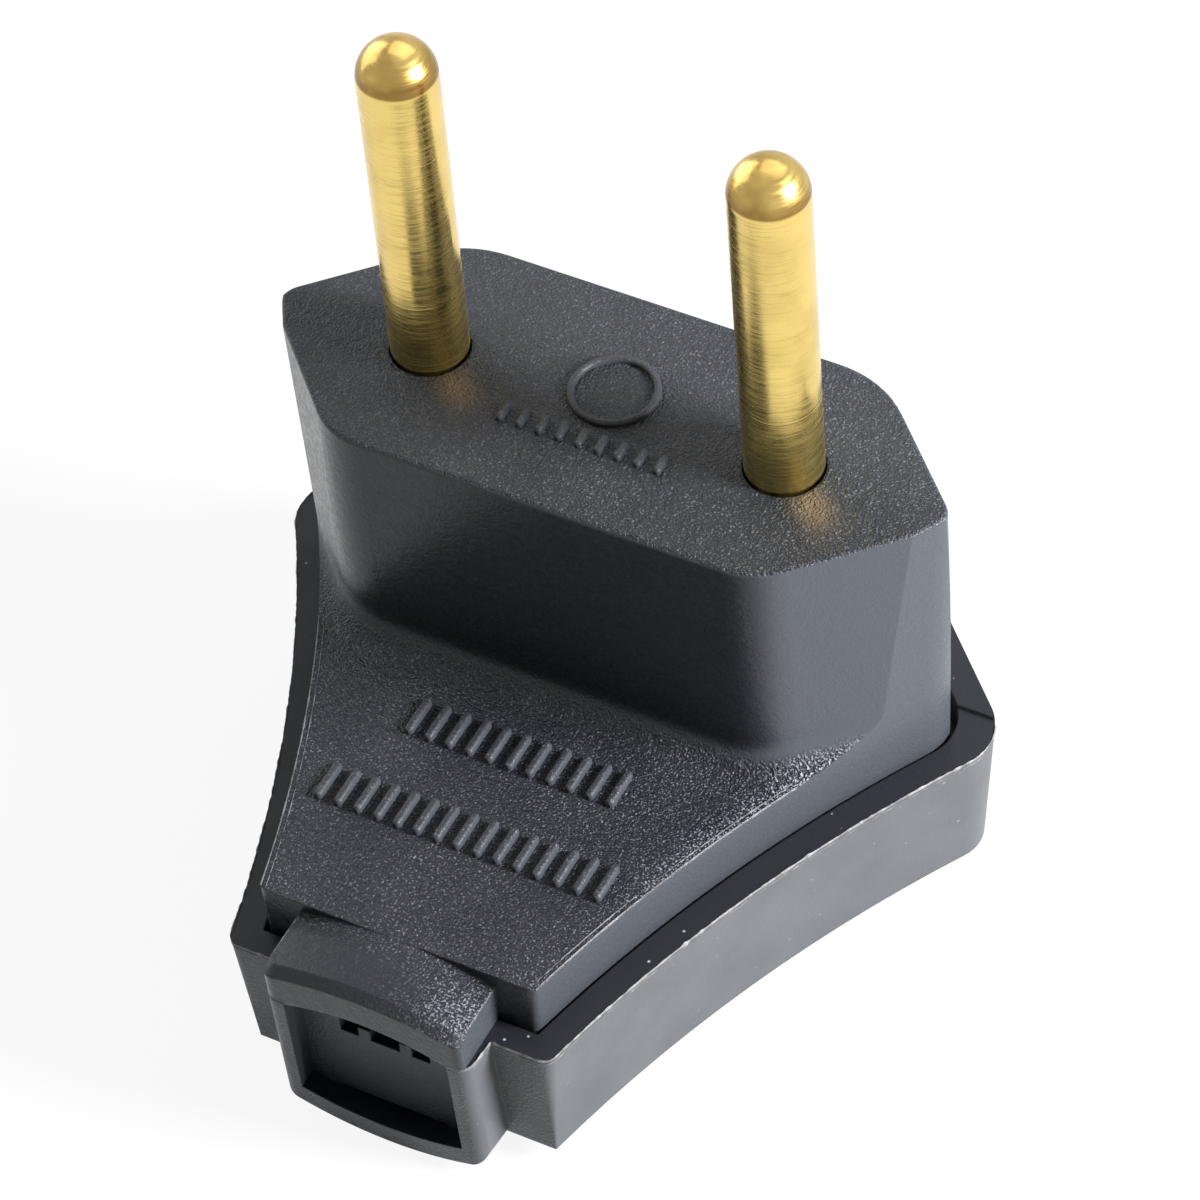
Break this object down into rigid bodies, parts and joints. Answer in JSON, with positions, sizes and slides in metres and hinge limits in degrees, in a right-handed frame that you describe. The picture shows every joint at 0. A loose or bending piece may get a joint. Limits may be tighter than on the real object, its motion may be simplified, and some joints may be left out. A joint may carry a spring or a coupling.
{
  "type": "angled plug",
  "caption": "Angled mains plug with round pins on a hexagonal block, a flared plate and a tray-shaped back shell, and a cord outlet square to the pins",
  "frame": {"origin": "on the flat back, straight behind the middle between the two pins", "axes": "+Z out of the flat back towards the pin tips, -Y towards the cord outlet, +X from the left pin to the right pin"},
  "size_m": [0.0386, 0.0366, 0.046],
  "materials": {
    "body_black": "spark-eroded black-grey moulding",
    "shell_grey": "smooth dark grey moulding",
    "pin_brass": "turned, lightly scratched",
    "screw_steel": "zinc plated"
  },
  "bodies": {
    "root": {"front_body": "body_black", "back_shell": "shell_grey", "left_pin": "pin_brass", "right_pin": "pin_brass", "left_terminal_screw": "screw_steel", "right_terminal_screw": "screw_steel", "cover_screw": "screw_steel"}
  },
  "joints": []
}
